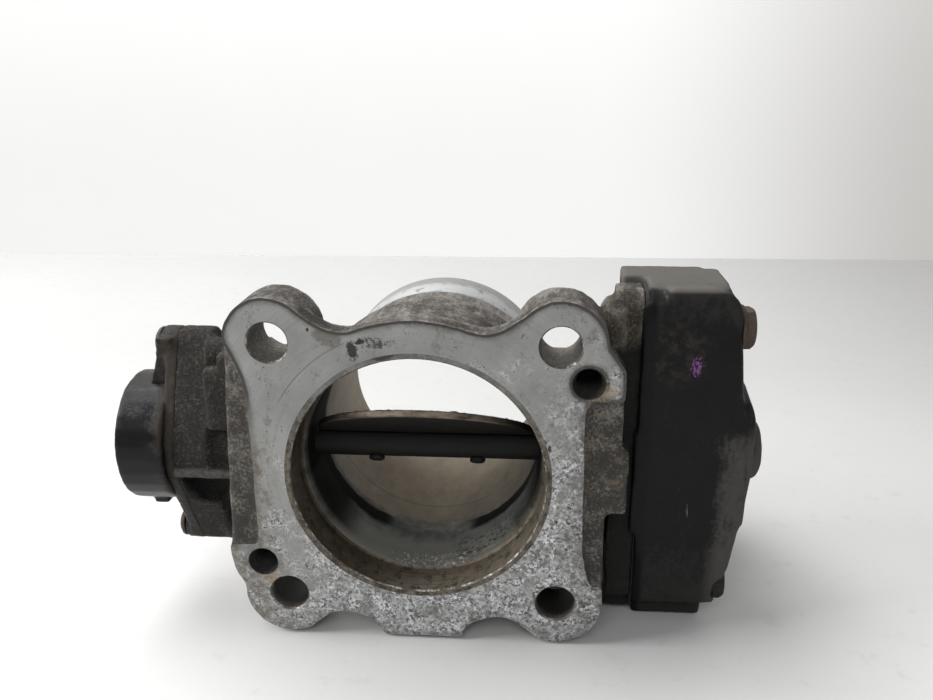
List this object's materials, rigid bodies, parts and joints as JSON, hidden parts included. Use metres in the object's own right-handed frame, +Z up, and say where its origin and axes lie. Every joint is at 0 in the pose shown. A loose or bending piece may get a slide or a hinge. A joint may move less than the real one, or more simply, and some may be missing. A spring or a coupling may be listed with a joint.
{
  "type": "throttle body",
  "caption": "Electronic throttle body: cast bore with bolt flange and hose spigot, butterfly plate on a cross shaft, geared motor drive under a cover, position sensor.",
  "frame": {"origin": "centre of the bounding box at its bottom, on the surface the part stands on", "axes": "+X along the throttle shaft towards the gear cover, +Y along the bore from the flange face to the hose spigot, +Z up"},
  "size_m": [0.1526, 0.0708, 0.0857],
  "materials": {
    "cast_aluminium": "cast, with machined faces, corroded",
    "plate_brass": "sooty",
    "steel": "satin",
    "rusty_steel": "rusty",
    "spring_steel": "oiled",
    "cover_plastic": "matte, dusty",
    "cap_plastic": "semi-gloss, dusty",
    "gear_plastic": "natural",
    "pinion_brass": "cut",
    "seal_rubber": "soft",
    "terminal_metal": "tinned",
    "winding": "enamelled",
    "magnet": "sintered"
  },
  "bodies": {
    "body": {"housing": "cast_aluminium", "bearing_sensor_side": "steel", "bearing_gear_side": "steel", "seal_sensor_side": "seal_rubber", "seal_gear_side": "seal_rubber", "return_spring": "spring_steel", "idler_pin": "steel", "motor_can": "steel", "motor_magnet_upper": "magnet", "motor_magnet_lower": "magnet", "motor_end_plate": "steel", "motor_screw_upper": "steel", "motor_screw_lower": "steel", "gear_cover": "cover_plastic", "plug_terminals": "terminal_metal", "cover_gasket": "seal_rubber", "cover_bolt_front_top": "rusty_steel", "cover_bolt_front_bottom": "rusty_steel", "cover_bolt_rear_top": "rusty_steel", "cover_bolt_rear_bottom": "rusty_steel", "sensor_mount": "cover_plastic", "sensor_seal": "seal_rubber", "sensor_bush_lower": "rusty_steel", "sensor_bush_upper": "rusty_steel", "sensor_screw_lower": "rusty_steel", "sensor_screw_upper": "rusty_steel", "sensor_cap": "cap_plastic", "sensor_terminals": "terminal_metal"},
    "throttle": {"throttle_shaft": "steel", "throttle_plate": "plate_brass", "plate_screw_sensor_side": "steel", "plate_screw_gear_side": "steel", "sector_gear": "gear_plastic", "sensor_rotor": "gear_plastic"},
    "idler": {"idler_gear": "gear_plastic"},
    "motor_rotor": {"motor_shaft": "steel", "motor_armature": "winding", "motor_pinion": "pinion_brass"}
  },
  "joints": [
    {"name": "throttle_hinge", "type": "hinge", "parent": "body", "child": "throttle", "pos_m": [-0.0033, -0.01359, 0.0433], "axis": [1, 0, 0], "range_deg": [-50, 33], "stiffness_Nm_per_rad": 0.05},
    {"name": "idler_hinge", "type": "hinge", "parent": "body", "child": "idler", "pos_m": [0.0547, 0.01023, 0.0396], "axis": [1, 0, 0], "range_deg": [-99, 150]},
    {"name": "motor_hinge", "type": "hinge", "parent": "body", "child": "motor_rotor", "pos_m": [0.0467, 0.01291, 0.0213], "axis": [1, 0, 0], "range_deg": [-540, 356.4]}
  ],
  "couplings": [
    {"joint": "idler_hinge", "follows": "throttle_hinge", "ratio": -3},
    {"joint": "motor_hinge", "follows": "throttle_hinge", "ratio": 10.8}
  ]
}
